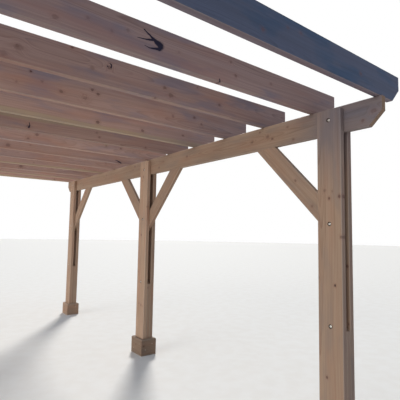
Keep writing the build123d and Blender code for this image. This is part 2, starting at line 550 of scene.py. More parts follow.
def sapwood_mask(tree, given, rings):
    beyond = add(tree, "Math", rings["Radius"], given["Sap limit"], operation="SUBTRACT")
    return add(tree, "MapRange", beyond, *SAPWOOD_EDGE, **EASED)


# Eased corners, rubbed pale and lightened as a painted highlight
def rubbed_and_highlight_mask(tree, depth, arris):
    corner = add(tree, "Math", depth["X"], depth["Y"], operation="MAXIMUM")
    return add(tree, "MapRange", corner, *times_arris(tree, arris, 1.7, 0.5), **EASED)


# The walls of bolt holes are darkened as a painted shade
def bore_shade_mask(tree, given, depth, cut):
    off_ends = add(tree, "MapRange", depth["Z"], *CLEAR_OF_ENDS, **EASED)
    bore = add(tree, "Math", cut, given["Bored"], operation="MULTIPLY")
    return add(tree, "Math", bore, off_ends, operation="MULTIPLY")


print(f"bolt holes are stained from {CLEAR_OF_ENDS[0] / MM:.0f} mm off the ends of a board")

# %% [markdown]
# The softwood group is the finish of every board. Over the bare wood lie thin coats, roughly
# in the order in which they came to the real board: clouds and blushes, yellow sapwood in
# the outermost rings, corners rubbed pale and painted with highlight, grey weather that
# also carries painted shade with a bluish tinge, resin and knots with their bark, cracks,
# the cut faces, and a black painted shade on the walls of each bolt hole. A coat is a mask,
# how well it covers, and a colour, and one loop lays them all on.


# %% Softwood group
def build_softwood_group():
    tree, given, result = new_group(
        "softwood",
        {"Board": "Vector", "Seed": "Vector", "Pith": "Vector", "Half size": "Vector",
         "Arris": "Float", "Sap limit": "Float", "Earlywood": "Color", "Latewood": "Color",
         "Cloud": "Color", "Blush": "Color", "Clouding": "Float", "Front grey and sky shade": "Float",
         "Top grey and shade": "Float", "Exposure": "Float", "Bored": "Float", "Shade": "Float",
         "Swelling": "Float", "Knot": "Float", "Rim": "Float", "Halo": "Float", "Split": "Float"},
        {"Color": "Color", "Roughness": "Float", "Height": "Float"},
    )
    board, seed, arris = given["Board"], given["Seed"], given["Arris"]
    ring_inputs = {name: given[name] for name in ("Board", "Seed", "Pith", "Swelling")}
    rings = add(tree, "Group", node_tree=RINGS, into=ring_inputs).outputs
    streak = grain_noise(tree, board, seed, STREAK, 3.0)
    fibre = grain_noise(tree, board, seed, FIBRE)
    darkness = wood_darkness(tree, rings, streak, fibre)
    cloud, blush = clouds_and_blushes(tree, board, seed)
    # Sapwood shows most in its pale earlywood
    sap_cover = add(tree, "Math", darkness, -0.5, 0.65, operation="MULTIPLY_ADD")
    silver_and_sky_shade = add(tree, "Mix", darkness, SILVER_AND_SKY_PALE, SILVER_AND_SKY_DARK, data_type="RGBA")
    depth = depth_below_faces(tree, given)
    cut, cut_colour = cut_faces(tree, depth, arris, rings)

    coats = (
        (cloud, given["Clouding"], given["Cloud"]),
        (blush, 0.52, given["Blush"]),
        (sapwood_mask(tree, given, rings), sap_cover, SAPWOOD),
        # Corners: rubbed pale and a painted highlight; the grey coat: weather and painted shade
        (rubbed_and_highlight_mask(tree, depth, arris), 0.45, RUBBED_AND_HIGHLIGHT),
        (grey_and_shade_mask(tree, given, cloud), 1.0, silver_and_sky_shade),
        (given["Halo"], 0.30, RESIN_RED),
        (given["Knot"], 0.80, KNOT_HEART),
        (given["Rim"], 0.80, KNOT_RIM),
        (given["Split"], 1.0, SPLIT_BLACK),
        (cut, 0.75, cut_colour),
        # Painted shade on the walls of bolt holes
        (bore_shade_mask(tree, given, depth, cut), 0.80, BORE_PAINTED_SHADE),
    )
    colour = add(tree, "Mix", darkness, given["Earlywood"], given["Latewood"], data_type="RGBA")
    for mask, cover, coat in coats:
        share = add(tree, "Math", mask, cover, operation="MULTIPLY")
        colour = add(tree, "Mix", share, colour, coat, data_type="RGBA")
    fill(tree, result["Color"], add(tree, "VectorMath", colour, given["Shade"], operation="SCALE"))
    # Dense latewood and knots are a little smoother; latewood stands up, bark and cracks lie deep
    fill(tree, result["Roughness"], total(tree, 0.72, (darkness, -0.10), (given["Knot"], -0.18)))
    fill(tree, result["Height"], total(tree, 0.0, (rings["Latewood"], 0.5), (fibre, 0.5),
                                       (given["Rim"], -0.5), (given["Split"], -2.0)))
    return tree


SOFTWOOD = build_softwood_group()
print("softwood group:", len(SOFTWOOD.nodes), "nodes")

# %% [markdown]
# Knots come in whorls, because a conifer grows one ring of branches a year: one to three
# knots close together, then a clear stretch of a few hand's breadths. A seeded draw places
# them on most boards. A knot is written as its place across the board from its middle line,
# its place along it from its middle, its radius, and how strongly it stands out.

# %% Drawn knots
rng = random.Random(1958)
FIRST_WHORL = (0.05, 0.35)
NEXT_WHORL = (0.30, 0.62)
KNOTS_IN_WHORL = (1, 1, 2, 2, 3)
WHORL_SPREAD = 30 * MM


def whorls(length, width):
    """Drawn knots of a board: (across, along, radius, strength), lengths in metres."""
    knots = []
    along = -length / 2 + rng.uniform(*FIRST_WHORL)
    while along < length / 2:
        for _ in range(rng.choice(KNOTS_IN_WHORL)):
            across = rng.uniform(-0.46, 0.46) * width
            place = along + rng.gauss(0, WHORL_SPREAD)
            knots.append((across, place, rng.uniform(4, 10) * MM, rng.uniform(0.25, 0.9)))
        along += rng.uniform(*NEXT_WHORL)
    return knots


print("most knots in a whorl:", max(KNOTS_IN_WHORL))

# %% [markdown]
# On the boards nearest to the eye the knots are where the real ones are. They were measured
# in the picture and turned into places on the board, in millimetres, with the strength in
# per cent, which goes beyond a hundred for the darkest. Where such a board runs out of the
# picture, a few likely knots carry on.


# %% Knots at their real places
def measured(*knots):
    """Knots in millimetres and per cent as (across, along, radius, strength), in metres."""
    return [(across * MM, along * MM, radius * MM, strength / 100)
            for across, along, radius, strength in knots]


KNOWN_KNOTS = {
    "rafter_01": measured(
        (-44, 610, 9, 50), (53, 904, 8, 40), (38, 797, 7, 35), (-20, 1500, 9, 50),
        (10, -600, 10, 60), (-40, -1400, 9, 50)),
    "rafter_02": measured(
        (-95, 771, 9, 60), (-20, 905, 9, 60), (58, 862, 8, 50), (20, 141, 8, 35),
        (-14, 53, 7, 30), (-40, -227, 11, 45), (3, 1238, 8, 40), (-13, 464, 7, 25),
        (8, -73, 7, 30), (40, -620, 11, 60), (-35, -1000, 9, 60), (10, -1500, 9, 50)),
    "rafter_03": measured(
        (-6, -276, 19, 34), (39, 268, 13, 60), (5, 691, 10, 60), (-49, 743, 15, 55),
        (88, 23, 6, 80), (-5, 1202, 10, 60), (-87, 614, 7, 50), (-57, -350, 17, 30),
        (71, 982, 7, 40), (-2, -284, 9, 55), (5, 152, 11, 35)),
    "rafter_04": measured(
        (79, -93, 6, 105), (-16, 122, 11, 55), (41, 355, 10, 70), (32, 400, 10, 75),
        (-26, 299, 14, 35), (15, -14, 9, 40), (-28, -180, 7, 35), (-4, 1099, 10, 40),
        (27, 1335, 10, 70), (-24, 1417, 10, 60), (-40, -800, 9, 60), (30, -1500, 9, 50)),
    "rafter_05": measured(
        (-28, 612, 13, 75), (-40, 1076, 13, 65), (9, 1564, 9, 65), (30, -300, 10, 50)),
    "rafter_06": measured(
        (-45, 139, 15, 45), (-45, 842, 9, 45), (7, 812, 9, 40), (-60, 1400, 9, 50),
        (20, -900, 10, 60)),
    "rafter_07": measured(
        (-10, 341, 14, 60), (-62, 252, 12, 55), (-4, 1141, 10, 50), (-1, 1334, 10, 55),
        (10, -700, 9, 60)),
    "rafter_08": measured(
        (-48, 152, 18, 50), (-22, 397, 9, 35), (-84, 1560, 24, 35), (-10, -800, 10, 60)),
    "rafter_11": measured((-46, 625, 19, 60), (30, 1200, 10, 50), (-20, -500, 10, 50)),
    "right_beam": measured(
        (-22, -2162, 10, 70), (8, -2108, 11, 60), (-6, -1920, 9, 60), (-68, -2387, 8, 50),
        (51, -2327, 9, 50), (68, -2016, 8, 55), (3, -3061, 16, 50), (-57, -2981, 9, 55),
        (58, 343, 13, 50), (10, -900, 10, 60), (-50, -300, 10, 50), (40, 1300, 11, 55),
        (-30, 2300, 11, 50)),
    "right_front_post_inner_plank": measured(
        (30, 628, 9, 55), (-1, 569, 7, 90), (-92, 578, 9, 80), (-96, 295, 9, 60),
        (83, 0, 8, 60), (-29, -43, 7, 110), (31, -682, 7, 90), (-37, 619, 7, 40)),
    "right_front_post_brace": measured((8, 60, 9, 60), (-40, -200, 8, 50)),
}


def knots_of(name, board):
    """The measured knots of a board, or drawn ones where none were measured."""
    return KNOWN_KNOTS.get(name) or whorls(board.length, board.width)


print("boards with measured knots:", len(KNOWN_KNOTS))

# %% [markdown]
# The second rafter has one large black knot whose wood has split into a claw of three
# lines, and a small black hole at its lower edge. Knots on two more rafters have cracked
# along a part of their rim, and the eighth rafter has dark strokes by its knot near the
# beam. Each stroke is written as its start and end, both as (across, along), then its half
# widths at the start and at the end, all in millimetres.

# %% Cracked knots
CRACKS = {
    "rafter_02": [
        ((55, 236), (24, 287), 3, 7),
        ((24, 287), (6, 318), 8, 16),
        ((6, 318), (-3, 340), 16, 23),
        ((-3, 340), (-20, 337), 21, 14),
        ((-3, 197), (4, 254), 1.2, 4),
        ((4, 254), (12, 288), 4, 7),
        ((-32, 241), (-38, 272), 1.2, 3),
        ((-38, 272), (-26, 335), 3, 10),
        ((-92, 772), (-80, 770), 5, 3.5),
    ],
    "rafter_03": [
        ((56, 268), (50, 278), 2, 5),
        ((50, 278), (40, 281), 5, 3),
        ((40, 281), (31, 278), 3, 5),
        ((33, 253), (30, 258), 4, 2),
    ],
    "rafter_06": [
        ((-16, 142), (-48, 148), 2, 5),
        ((-48, 148), (-62, 141), 4, 8),
    ],
    # Dark strokes by the knot near the beam
    "rafter_08": [
        ((-55, 1498), (-59, 1525), 2, 5),
        ((-59, 1525), (-72, 1554), 5, 8),
        ((-72, 1554), (-92, 1590), 8, 5),
    ],
}
print("strokes:", {name: len(strokes) for name, strokes in CRACKS.items()})

# %% [markdown]
# In a board's material its knots and cracks are chained: each group node takes the masks of
# the one before it and hands on the strongest. All of them share one noise that makes their
# outlines ragged.


# %% Chains of knots and cracks
def knotted(tree, place, knots, ragged):
    """Masks of all knots of a board, by the names of the knot group's sockets."""
    masks = {"Swelling": 0.0, "Knot": 0.0, "Rim": 0.0, "Halo": 0.0}
    for across, along, radius, strength in knots:
        knot = add(tree, "Group", node_tree=KNOT, into={
            "Board": place, "Centre": (across, 0, along), "Radius": radius,
            "Strength": strength, "Slant": rng.uniform(-0.5, 0.5), "Ragged": ragged, **masks})
        masks = {name: knot.outputs[name] for name in masks}
    return masks


def cracked(tree, place, strokes, ragged):
    """Mask of all cracks of a board."""
    split = 0.0
    for start, end, start_half, end_half in strokes:
        start, end = [(across * MM, 0, along * MM) for across, along in (start, end)]
        split = add(tree, "Group", node_tree=SPLIT, into={
            "Board": place, "Start": start, "End": end, "Start half width": start_half * MM,
            "End half width": end_half * MM, "Ragged": ragged, "Split": split})
    return split


print("nodes in the chain of knots of rafter_04:", len(KNOWN_KNOTS["rafter_04"]))

# %% [markdown]
# How grey a board is depends on where it hangs as well. At the open front end the upper
# parts are greyed, a painted shade under the front rafters. The outer ends of the rafters
# are greyed most at the front, a painted shade with a bluish tinge, and the narrow faces of
# the front posts that look out are greyed too. Towards the back every board is painted
# lighter and with fewer grey clouds, a painted light. These are questions of place in the
# part, so they are answered from Object coordinates, in metres, and every answer fades in
# between two limits.

# %% Shade and grey by place
# The open end high up and the rafters' outer ends are greyed as painted shade
AT_OPEN_END, HIGH_UP = (-2.2, -2.9), (1.7, 2.4)
OUTER_PART, FRONT_HALF = (0.15, 0.5), (0.6, -2.0)
LOOKING_OUT = (front_edge + 4 * MM, front_edge + 1 * MM)
UNDER_BEAM = (headroom, headroom - 50 * MM)
OPEN_END_SHADE, LOOKING_OUT_GREY = 0.55, 0.24
# Painted light: boards grow lighter, with fewer grey clouds, towards the back
LIGHTER_TOWARDS_BACK, PAINTED_LIGHT_AT_BACK = (-0.8, 2.6), 1.14
CLOUDING, CLOUDS_FRONT_AND_BACK = (-1.8, 1.6), (0.6, 0.2)


def shade_and_grey_by_place(tree, place, spot, length, end_weather):
    """How grey a point is for where it hangs, partly painted shade: the strongest of three
    answers.
    """
    along = add(tree, "SeparateXYZ", place).outputs["Z"]
    off_middle = add(tree, "Math", along, operation="ABSOLUTE")
    outer_part = [share * length for share in OUTER_PART]
    grey = 0.0
    # The first two answers are painted shade, the second with a bluish tinge
    # Two measures with their limits, and how grey a point is that meets both
    for value, limits, other, other_limits, strength in (
        (spot["Y"], AT_OPEN_END, spot["Z"], HIGH_UP, OPEN_END_SHADE),
        (off_middle, outer_part, spot["Y"], FRONT_HALF, end_weather),
        (spot["Y"], LOOKING_OUT, spot["Z"], UNDER_BEAM, LOOKING_OUT_GREY),
    ):
        inside = add(tree, "MapRange", value, *limits, **EASED)
        greyed = add(tree, "MapRange", other, *other_limits, 0.0, strength, **EASED)
        both = add(tree, "Math", inside, greyed, operation="MULTIPLY")
        grey = add(tree, "Math", both, grey, operation="MAXIMUM")
    return grey


print(f"post faces that look out lie at y = {front_edge:.3f} m")

# %% [markdown]
# No two boards come from the same place in a tree. Tones make some boards lighter or darker
# than their neighbours. Five of them are painted light and shade instead: the last rafter
# and the inner planks of the middle and back posts are lightened for the light on them, and
# the front post's outer plank and the middle post's skirt are darkened for the shade on
# them. Most piths are drawn, and on some rafters they lie where the real flames and sapwood
# ask for them.

# %% Tones and piths
NO_SAPWOOD = 0.5
# Five tones are painted light and shade: rafter_13 and the middle and back inner planks lighter,
# the front outer plank and the middle skirt darker
TONES_AND_PAINTED_LIGHT = {
    "rafter_03": 0.95, "rafter_05": 1.05, "rafter_06": 0.84, "rafter_07": 1.10,
    "rafter_08": 0.94, "rafter_11": 0.92, "rafter_13": 1.2,
    "right_front_post_outer_plank": 0.92, "right_middle_post_inner_plank": 1.25,
    "right_back_post_inner_plank": 1.08, "right_middle_post_skirt": 0.73,
}
KNOWN_PITHS = {
    # across and through from the board's middle, and the radius where sapwood starts
    "rafter_02": (0.08, -0.05, NO_SAPWOOD),
    "rafter_03": (0.03, -0.07, NO_SAPWOOD),
    "rafter_04": (-0.05, -0.06, NO_SAPWOOD),
    "rafter_05": (0.10, -0.05, 0.176),
    "rafter_12": (0.09, 0.06, 0.180),
}


def drawn_pith(width):
    """Across and through from the board's middle, and the radius where sapwood starts."""
    across = rng.uniform(-0.6, 0.6) * width
    through = rng.choice((-1, 1)) * rng.uniform(0.04, 0.11)
    one_in_four = (NO_SAPWOOD, NO_SAPWOOD, NO_SAPWOOD, rng.uniform(0.14, 0.17))
    return across, through, rng.choice(one_in_four)


print("boards with a tone of their own:", len(TONES_AND_PAINTED_LIGHT))

# %% [markdown]
# Each board is therefore a material of its own. All share the softwood group, and what
# differs is the board space, the pith, the knots, the palette, the tone, and how far the
# board is greyed by weather and painted shade. The relief of the grain is bump, because it
# is under a millimetre.

# %% Board materials
ARRIS = 4 * MM
RAGGED = (14.29, 66.67, 18.18)
RELIEF, RELIEF_STRENGTH = 0.6 * MM, 0.6


def softwood_board(name, board, board_space, knots, palette="honey", shade=1.0, arris=ARRIS,
                   front_weather=0.0, top_weather=0.0, end_weather=0.0, bored=0.0):
    """Planed softwood for one board. board_space makes its coordinates in a tree."""
    material, tree, shader = new_material(f"planed softwood {name}")
    place = board_space(tree, board)
    seed = [rng.uniform(0, 90) for _ in range(3)]
    ragged = total(tree, -1.1, (grain_noise(tree, place, seed, RAGGED, 4.0), 2.2))
    masks = knotted(tree, place, knots, ragged)
    pith = drawn_pith(board.width)
    pith_across, pith_through, sap_limit = KNOWN_PITHS.get(name, pith)
    colours = zip(("Earlywood", "Latewood", "Cloud", "Blush"), map(linear, PALETTES[palette]))
    spot = add(tree, "SeparateXYZ", add(tree, "TexCoord").outputs["Object"]).outputs
    # The tone, which for some boards is painted light or shade
    shade *= TONES_AND_PAINTED_LIGHT.get(name, 1.0)
    wood = add(tree, "Group", node_tree=SOFTWOOD, into={
        "Board": place, "Seed": seed, "Pith": (pith_across, pith_through, 0),
        "Half size": (board.width / 2, board.thickness / 2, board.length / 2),
        "Arris": arris, "Sap limit": sap_limit, "Bored": bored,
        "Front grey and sky shade": front_weather, "Top grey and shade": top_weather,
        "Exposure": shade_and_grey_by_place(tree, place, spot, board.length, end_weather),
        # Painted light: lighter towards the back, with fewer grey clouds
        "Shade": add(tree, "MapRange", spot["Y"], *LIGHTER_TOWARDS_BACK, shade, PAINTED_LIGHT_AT_BACK * shade, **EASED),
        "Clouding": add(tree, "MapRange", spot["Y"], *CLOUDING, *CLOUDS_FRONT_AND_BACK, **EASED),
        "Split": cracked(tree, place, CRACKS.get(name, ()), ragged),
        **dict(colours), **masks,
    }).outputs
    bump = add(tree, "Bump", RELIEF_STRENGTH, RELIEF, into={"Height": wood["Height"]})
    # Dry planed wood has less shine than its refractive index alone would give
    shader.inputs["Specular IOR Level"].default_value = 0.15
    fill(tree, shader.inputs["Base Color"], wood["Color"])
    fill(tree, shader.inputs["Roughness"], wood["Roughness"])
    fill(tree, shader.inputs["Normal"], bump)
    return material


print(f"relief of the grain: {RELIEF / MM:.1f} mm")

# %% [markdown]
# A node of the frame has one material slot, so one board's material fills it. Most boards
# are single boards, whose space is a plain turn and shift.


# %% Dressing a board
def single_board(tree, board):
    """Board space of one board."""
    place = add(tree, "TexCoord").outputs["Object"]
    return add(tree, "Mapping", place, board.middle, board.turn(), vector_type="TEXTURE")


def dress(name, board, knots, board_space=single_board, **finish):
    """Give a node of the frame its softwood in its only slot."""
    slots = nodes[name].data.materials
    slots.clear()
    slots.append(softwood_board(name, board, board_space, knots, **finish))


print("nodes to dress:", len(nodes))

# %% [markdown]
# The front rafter's outer face is slate grey: partly weathering, partly a painted bluish
# shade. The next ones are less and less grey. All upper edges get rain, with a painted shade
# below them, and the ends that stick out beyond the beams are greyed more than the middles,
# a painted shade with a bluish tinge.

# %% Rafters and beams
# The front rafters' faces: weathering and a painted bluish shade
FACE_GREY_AND_SKY_SHADE = {"rafter_01": 1.0, "rafter_02": 0.38, "rafter_03": 0.22, "rafter_04": 0.05}
# Upper edges: weathering, and a painted shade on the sides below them
EDGE_GREY_AND_SHADE = 0.35
# The rafters' outer ends are greyed as a painted shade with a bluish tinge
END_GREY_AND_SHADE = 0.48
BEAM_SHADE = 0.90
for name in RAFTERS:
    board = board_of(name, X, Z)
    dress(name, board, knots_of(name, board), palette="heartwood", shade=rng.uniform(0.92, 1.0),
          front_weather=FACE_GREY_AND_SKY_SHADE.get(name, 0.0), top_weather=EDGE_GREY_AND_SHADE,
          end_weather=END_GREY_AND_SHADE)
for row in ROWS:
    name = f"{row}_beam"
    board = board_of(name, Y, Z)
    dress(name, board, knots_of(name, board), shade=BEAM_SHADE)
print("rafters and beams dressed:", len(RAFTERS) + len(ROWS))

# %% [markdown]
# Each post is three boards, two planks and a core, and the grain stands upright in all of
# them. Only the planks show the holes of their bolts, so only they get the black painted
# shade in the holes.

# %% Posts
for row in ROWS:
    for post in POSTS:
        for part in ("inner_plank", "outer_plank", "core"):
            name = f"{row}_{post}_post_{part}"
            board = board_of(name, Z, Y)
            dress(name, board, knots_of(name, board), shade=rng.uniform(0.93, 1.0),
                  bored=float(part != "core"))
print("post boards dressed:", 3 * len(ROWS) * len(POSTS))

# %% [markdown]
# A knee brace lies at 45 degrees in the plane of its beam, so its board space is turned by
# 45 degrees too. Its box is that of a slanting board with a plumb foot and a level head, so
# the board's middle line lies half a width off the box's middle. The pair on a middle post
# was sawn as two mirrored pieces: taking the distance from the post instead of the signed
# place gives both the same board, mirrored.

# %% Knee braces
BRACE_WIDTH = 150 * MM
BRACE_SHADE = 0.95


def brace_board(name, direction, box_middle):
    """The slanting board of a brace that rises towards +Y (direction 1) or -Y (-1)."""
    along = Vector((0, direction, 1)).normalized()
    across = Vector((0, -direction, 1)).normalized()
    extent = size(name)
    middle = box_middle + across * BRACE_WIDTH / 2
    return Board(middle, along, across, sqrt(2) * extent.z, BRACE_WIDTH, extent.x)


def mirrored_pair(tree, board):
    """Board space of the brace on the +Y side, and of its mirror image on the other."""
    part = add(tree, "SeparateXYZ", add(tree, "TexCoord").outputs["Object"]).outputs
    away = add(tree, "Math", part["Y"], operation="ABSOLUTE")
    folded = add(tree, "CombineXYZ", part["X"], away, part["Z"])
    return add(tree, "Mapping", folded, board.middle, board.turn(), vector_type="TEXTURE")


for row in ROWS:
    for name, direction in ((f"{row}_front_post_brace", 1), (f"{row}_back_post_brace", -1)):
        board = brace_board(name, direction, centre(name))
        dress(name, board, knots_of(name, board), shade=BRACE_SHADE)
    name = f"{row}_middle_post_braces"
    low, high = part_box(name)
    one_side = Vector(((low.x + high.x) / 2, high.y / 2, (low.z + high.z) / 2))
    board = brace_board(name, 1, one_side)
    dress(name, board, knots_of(name, board), mirrored_pair, shade=BRACE_SHADE)
print("nodes of knee braces dressed:", 3 * len(ROWS))

# %% [markdown]
# A skirt is four short boards on edge round a post's foot, mitred at the corners, in one
# node. Which of the four a point belongs to is a simple question of place: it is on the
# board whose face it is nearer to. The grain then runs along that board. All four read one
# long pattern, each shifted to a place of its own, so that no two sides look alike.

# %% Skirts
SIDE_SHIFT = 0.9
PATTERN_LENGTH = 6 * SIDE_SHIFT
SKIRT_BEVEL = 10 * MM
SKIRT_SHADE = 0.90


def skirt_sides(tree, board):
    """Board space of four mitred boards round the middle of a post."""
    place = add(tree, "TexCoord").outputs["Object"]
    local = add(tree, "VectorMath", place, board.middle, operation="SUBTRACT")
    x, y, z = add(tree, "SeparateXYZ", local).outputs
    throughs, spaces = [], []
    for out, along, reach, shift in ((x, y, post_depth / 2, SIDE_SHIFT),
                                     (y, x, plank_width / 2, 2 * SIDE_SHIFT)):
        distance = add(tree, "Math", out, operation="ABSOLUTE")
        # Distance beyond the middle skin of this pair of boards
        through = add(tree, "Math", distance, reach + board.thickness / 2, operation="SUBTRACT")
        side = add(tree, "Math", out, operation="SIGN")
        shifted = add(tree, "Math", side, shift, along, operation="MULTIPLY_ADD")
        throughs.append(through)
        spaces.append(add(tree, "CombineXYZ", z, through, shifted))
    on_x_face = add(tree, "Math", *throughs, operation="GREATER_THAN")
    return add(tree, "Mix", on_x_face, spaces[1], spaces[0], data_type="VECTOR")


for row in ROWS:
    for post in POSTS:
        name = f"{row}_{post}_post_skirt"
        extent = size(name)
        thickness = (extent.x - post_depth) / 2
        board = Board(centre(name), X, Z, PATTERN_LENGTH, extent.z, thickness)
        knots = [(rng.uniform(-0.4, 0.4) * extent.z, side * SIDE_SHIFT + rng.uniform(-0.1, 0.1),
                  rng.uniform(5, 9) * MM, rng.uniform(0.3, 0.8)) for side in (-2, -1, 1, 2)]
        dress(name, board, knots, skirt_sides, shade=SKIRT_SHADE, arris=SKIRT_BEVEL)
print("skirts dressed:", len(ROWS) * len(POSTS))

# %% [markdown]
# Zinc-plated steel: a thin bright plating, a little cloudy, with fine crystals. It reads as
# a pale grey metal with soft reflections that vary from patch to patch. The washers get a
# dull dark zinc instead, a painted shade for the shadow in their recesses.

# %% Zinc-plated steel
# Sizes of the plating's crystals and clouds, and of the dark patches on the washers' painted-shade
# zinc
CRYSTAL, PLATING_CLOUD, DARK_PATCH = 1.5 * MM, 12 * MM, 5 * MM


def zinc_plated_steel():
    """A bright, slightly cloudy plating."""
    material, tree, shader = new_material("zinc plated steel")
    place = add(tree, "TexCoord").outputs["Object"]
    crystals = add(tree, "TexVoronoi", place, 1 / CRYSTAL)
    clouds = add(tree, "TexNoise", place, 1 / PLATING_CLOUD, 3.0)
    pale = add(tree, "Mix", crystals, linear("E4E0D8"), linear("D2CEC6"), data_type="RGBA")
    dull = add(tree, "MapRange", clouds, 0.45, 0.7, **EASED)
    colour = add(tree, "Mix", dull, pale, linear("BDB9B2"), data_type="RGBA")
    bump = add(tree, "Bump", 0.3, 0.1 * MM, into={"Height": clouds})
    shader.inputs["Metallic"].default_value = 1.0
    fill(tree, shader.inputs["Base Color"], colour)
    fill(tree, shader.inputs["Roughness"], total(tree, 0.26, (dull, 0.12)))
    fill(tree, shader.inputs["Normal"], bump)
    return material


def dark_zinc_for_painted_shade():
    """A dull dark zinc for the washers, a painted shade for the shadow in their recesses."""
    material, tree, shader = new_material("dark zinc for painted shade")
    place = add(tree, "TexCoord").outputs["Object"]
    shade_noise = add(tree, "TexNoise", place, 1 / DARK_PATCH, 3.0)
    patches = add(tree, "MapRange", shade_noise, 0.4, 0.65, **EASED)
    colour = add(tree, "Mix", patches, linear("34302E"), linear("4C4641"), data_type="RGBA")
    shader.inputs["Metallic"].default_value = 1.0
    fill(tree, shader.inputs["Base Color"], colour)
    fill(tree, shader.inputs["Roughness"], total(tree, 0.55, (patches, 0.15)))
    return material


ZINC = zinc_plated_steel()
WASHER_SHADE_ZINC = dark_zinc_for_painted_shade()
print(ZINC.name, "and", WASHER_SHADE_ZINC.name)

# %% [markdown]
# Three M12 bolts clamp each post. On the outer side one sees a low mushroom head, on the
# side of the covered space a washer and a hexagon nut with the thread's end, sunk in a
# round recess. Round parts are turned: a profile is spun about the bolt's axis, as on a
# lathe. The washer is the first of them.

# %% Turned parts and the washer
BOLT_RADIUS = 6 * MM
WASHER_RADIUS = 13.5 * MM
WASHER_HOLE = 6.6 * MM
WASHER_THICKNESS = 2.5 * MM
WASHER_EASE = 0.4 * MM
TURNING_STEPS = 32
# Slot of the washers' dark zinc, a painted shade
WASHER_SHADE_SLOT = 1


def turned(bm, profile, closed=False):
    """Spin a profile of (radius, height) points about the Z axis into a surface."""
    verts = [bm.verts.new((radius, 0, height)) for radius, height in profile]
    ends = verts[1:] + verts[:1] if closed else verts[1:]
    edges = [bm.edges.new(pair) for pair in zip(verts, ends)]
    bmesh.ops.spin(bm, geom=verts + edges, cent=(0, 0, 0), axis=(0, 0, 1), angle=2 * pi,
                   steps=TURNING_STEPS, use_merge=True)


def add_washer(bm):
    """A flat ring with its upper outer edge eased, the one part in the dark zinc of painted shade.
    """
    shoulder = WASHER_THICKNESS - WASHER_EASE
    turned(bm, [(WASHER_HOLE, 0.0), (WASHER_RADIUS, 0.0), (WASHER_RADIUS, shoulder),
                (WASHER_RADIUS - WASHER_EASE, WASHER_THICKNESS),
                (WASHER_HOLE, WASHER_THICKNESS)], closed=True)
    for face in bm.faces:
        face.material_index = WASHER_SHADE_SLOT


print(f"washer {2000 * WASHER_RADIUS:.0f} mm wide")

# %% [markdown]
# The nut lies on the washer. It is a six-sided cylinder whose edges are broken by a bevel,
# as forged nuts have no sharp ones.

# %% Nut
NUT_ACROSS_FLATS = 18 * MM
NUT_HEIGHT = 10 * MM
NUT_EASE = 0.9 * MM


def add_nut(bm):
    """A hexagon nut on the washer."""
    corner = NUT_ACROSS_FLATS / sqrt(3)
    lift = Matrix.Translation((0, 0, WASHER_THICKNESS + NUT_HEIGHT / 2))
    made = bmesh.ops.create_cone(bm, cap_ends=True, segments=6, radius1=corner, radius2=corner,
                                 depth=NUT_HEIGHT, matrix=lift)
    faces = {face for vert in made["verts"] for face in vert.link_faces}
    edges = list({edge for face in faces for edge in face.edges})
    bmesh.ops.bevel(bm, geom=edges, offset=NUT_EASE, offset_type="OFFSET", segments=2, profile=0.5,
                    affect="EDGES", material=-1)


print(f"nut corners {2000 * NUT_ACROSS_FLATS / sqrt(3):.1f} mm apart")

# %% [markdown]
# At this size a real thread would be thousands of faces, so the bolt's end gets a few plain
# rings, which look the same from a step away. The head is low and round, so its profile is
# a part of an ellipse. Both are turned about the bolt's axis, as the washer was.

# %% Thread end and head
THREAD_PITCH = 1.75 * MM
THREAD_DEPTH = 0.9 * MM
TIP_RISE = 1.9 * THREAD_PITCH
HEAD_RADIUS = 14 * MM
HEAD_HEIGHT = 6 * MM
HEAD_RIM = 0.12


def add_thread_end(bm):
    """The bolt's end, with a few turns of thread drawn as rings, and a broken tip."""
    top = WASHER_THICKNESS + NUT_HEIGHT
    root = BOLT_RADIUS - THREAD_DEPTH
    profile = [(BOLT_RADIUS, 0.0), (BOLT_RADIUS, top - THREAD_PITCH)]
    for turn in range(2):
        crest = top + turn * THREAD_PITCH
        profile += [(root, crest - THREAD_PITCH / 2), (BOLT_RADIUS, crest)]
    profile += [(root, top + TIP_RISE), (0, top + TIP_RISE)]
    turned(bm, profile)


def add_head(bm, base):
    """A mushroom head whose underside lies at base and which rises towards -Z."""
    angles = [step * pi / 16 for step in range(8)]
    arc = [(HEAD_RADIUS * cos(angle), HEAD_RIM + (1 - HEAD_RIM) * sin(angle)) for angle in angles]
    dome = [(radius, base - HEAD_HEIGHT * rise) for radius, rise in arc]
    turned(bm, [(BOLT_RADIUS, base), (HEAD_RADIUS, base), *dome, (0, base - HEAD_HEIGHT)])


def bolt_mesh(bm, seat_to_head):
    """One bolt in its own space: Z = 0 is the washer's seat in the recess, +Z points out of it."""
    add_washer(bm)
    add_nut(bm)
    add_thread_end(bm)
    turned(bm, [(BOLT_RADIUS, 0.0), (BOLT_RADIUS, -seat_to_head)])
    add_head(bm, -seat_to_head)


print(f"head {2000 * HEAD_RADIUS:.0f} mm wide")

# %% [markdown]
# Every new piece is finished the same way: doubles are merged, the faces are pointed
# outwards, because spinning can turn a shape inside out, and edges sharper than an angle
# stay crisp. Spinning also makes its faces in another order each time the script runs, so
# they are sorted by the vertices that they join, and the mesh comes out the same. Its
# object sits at the origin, and its place is in its mesh, so a repeated shape is copied
# into one large mesh at each of its places.

# %% Finishing a piece
MERGE_DISTANCE = 0.01 * MM
CRISP_ANGLE = radians(35)
MOST_VERTS = 100_000


def place_in_order(face):
    """A number of its own for each face, from the three lowest of its vertex numbers."""
    first, second, third = sorted(vert.index for vert in face.verts)[:3]
    return (first * MOST_VERTS + second) * MOST_VERTS + third


